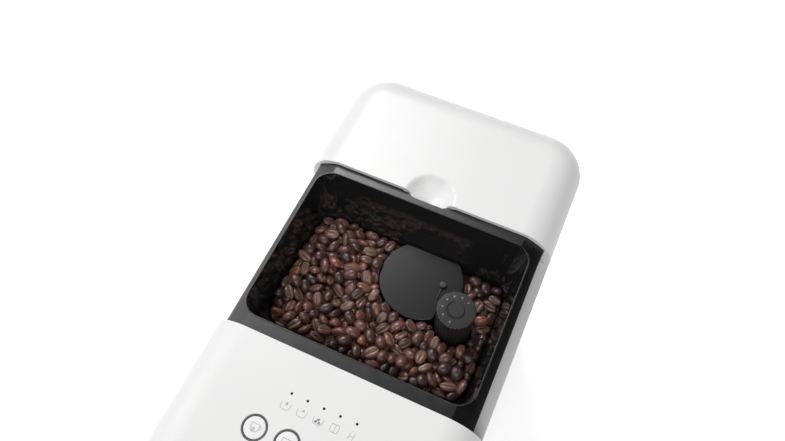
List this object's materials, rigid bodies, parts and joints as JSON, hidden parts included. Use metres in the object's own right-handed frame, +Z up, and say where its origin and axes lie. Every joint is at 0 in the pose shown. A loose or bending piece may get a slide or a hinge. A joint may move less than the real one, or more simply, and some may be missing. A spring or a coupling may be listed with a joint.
{
  "type": "bean to cup coffee machine",
  "caption": "Narrow white bean to cup coffee machine with open bean hopper, grind knob, push buttons, height-adjustable spout, pull-out drip tray and lift-out water tank.",
  "frame": {"origin": "middle of the footprint, on the surface the machine stands on", "axes": "+Z up, -Y is the front with the drip tray, +X is to the right of someone who faces the machine"},
  "size_m": [0.18, 0.433, 0.339],
  "materials": {
    "white_gloss": "glossy white moulded plastic",
    "white_satin": "satin white moulded plastic",
    "white_button": "smooth white button plastic",
    "black_gloss": "high gloss black plastic",
    "black_satin": "satin black plastic",
    "dark_grey": "dark grey plastic, slightly glossy",
    "grey_plastic": "grey structural plastic",
    "gear_plastic": "off-white gear plastic",
    "roasted_beans": "oily roasted coffee beans",
    "rubber": "black rubber",
    "steel": "brushed stainless steel",
    "motor_steel": "plated motor steel",
    "aluminium": "cast aluminium",
    "board": "green circuit board",
    "silicone": "translucent silicone hose",
    "clear_tank": "clear tank plastic",
    "red_float": "red plastic",
    "ring_grey": "grey light guide"
  },
  "bodies": {
    "machine": {"front_cover": "white_gloss", "side_panel_left": "white_satin", "side_panel_right": "white_satin", "back_panel": "white_satin", "bean_hopper": "black_gloss", "front_fascia": "black_gloss", "base_plate": "black_satin", "head_underside": "black_satin", "splash_panel": "black_satin", "power_inlet": "black_satin", "brew_frame": "black_satin", "coffee_chute": "black_satin", "grinder_housing": "black_satin", "pump": "black_satin", "grinder_cover": "dark_grey", "chassis": "grey_plastic", "spout_guide": "grey_plastic", "brew_cylinder": "grey_plastic", "flow_meter": "grey_plastic", "index_pin": "grey_plastic", "coffee_beans": "roasted_beans", "foot_front_left": "rubber", "foot_front_right": "rubber", "foot_rear_left": "rubber", "foot_rear_right": "rubber", "pump_cradle": "rubber", "tank_seat": "rubber", "grinder_gearmotor": "motor_steel", "brew_motor": "motor_steel", "boiler": "aluminium", "panel_board": "board", "control_board": "board", "hose_tank_to_meter": "silicone", "hose_meter_to_pump": "silicone", "hose_pump_to_boiler": "silicone", "button_light_guide": "ring_grey", "indicator_light_guide": "ring_grey"},
    "knob": {"grind_knob": "dark_grey", "knob_pinion": "gear_plastic"},
    "burr_ring": {"adjust_ring": "gear_plastic", "ring_burr": "steel"},
    "burr_cone": {"cone_burr": "steel", "burr_shaft": "steel"},
    "power_button": {"button_power": "white_button"},
    "small_cup_button": {"button_small_cup": "white_button"},
    "large_cup_button": {"button_large_cup": "white_button"},
    "strength_button": {"button_strength": "white_button"},
    "tank": {"water_tank": "clear_tank", "tank_valve": "grey_plastic"},
    "tank_cover": {"rear_cover": "white_gloss"},
    "tray": {"drip_tray": "black_satin", "grounds_container": "black_satin"},
    "grille": {"drip_grille": "steel"},
    "float": {"tray_float": "red_float"},
    "spout": {"spout_carriage": "black_gloss", "spout_nozzle_left": "steel", "spout_nozzle_right": "steel"},
    "door": {"service_door": "white_satin"},
    "piston": {"brew_piston": "grey_plastic"},
    "spindle": {"brew_spindle": "steel"}
  },
  "joints": [
    {"name": "grind_knob_turn", "type": "hinge", "parent": "machine", "child": "knob", "pos_m": [0.0463, 0.0575, 0.3], "axis": [0, 0, 1], "range_deg": [-105, 105]},
    {"name": "adjust_ring_turn", "type": "hinge", "parent": "machine", "child": "burr_ring", "pos_m": [0.01474, 0.0783, 0.27], "axis": [0, 0, 1], "range_deg": [-35, 35]},
    {"name": "cone_burr_spin", "type": "hinge", "parent": "machine", "child": "burr_cone", "pos_m": [0.01474, 0.0783, 0.27], "axis": [0, 0, 1], "continuous": true},
    {"name": "press_power", "type": "slide", "parent": "machine", "child": "power_button", "axis": [0, 0, -1], "range_m": [0, 0.0012], "stiffness_N_per_m": 600},
    {"name": "press_small_cup", "type": "slide", "parent": "machine", "child": "small_cup_button", "axis": [0, 0, -1], "range_m": [0, 0.0012], "stiffness_N_per_m": 600},
    {"name": "press_large_cup", "type": "slide", "parent": "machine", "child": "large_cup_button", "axis": [0, 0, -1], "range_m": [0, 0.0012], "stiffness_N_per_m": 600},
    {"name": "press_strength", "type": "slide", "parent": "machine", "child": "strength_button", "axis": [0, 0, -1], "range_m": [0, 0.0012], "stiffness_N_per_m": 600},
    {"name": "tank_lift", "type": "slide", "parent": "machine", "child": "tank", "axis": [0, 0, 1], "range_m": [0, 0.17]},
    {"name": "tank_cover_lift", "type": "slide", "parent": "tank", "child": "tank_cover", "axis": [0, 0, 1], "range_m": [0, 0.06]},
    {"name": "tray_pull", "type": "slide", "parent": "machine", "child": "tray", "axis": [0, -1, 0], "range_m": [0, 0.2]},
    {"name": "grille_lift", "type": "slide", "parent": "tray", "child": "grille", "axis": [0, 0, 1], "range_m": [0, 0.04]},
    {"name": "float_rise", "type": "slide", "parent": "tray", "child": "float", "axis": [0, 0, 1], "range_m": [0, 0.008]},
    {"name": "spout_lower", "type": "slide", "parent": "machine", "child": "spout", "axis": [0, 0, -1], "range_m": [0, 0.05]},
    {"name": "door_pull", "type": "slide", "parent": "machine", "child": "door", "axis": [1, 0, 0], "range_m": [0, 0.03]},
    {"name": "spindle_turn", "type": "hinge", "parent": "machine", "child": "spindle", "pos_m": [0.03, -0.006, 0.18], "axis": [0, 0, 1], "range_deg": [0, 1080]},
    {"name": "piston_press", "type": "slide", "parent": "machine", "child": "piston", "axis": [0, 0, -1], "range_m": [0, 0.024]}
  ],
  "couplings": [
    {"joint": "adjust_ring_turn", "follows": "grind_knob_turn", "ratio": -0.33333},
    {"joint": "spindle_turn", "follows": "piston_press", "rad_per_m": 785.4}
  ]
}
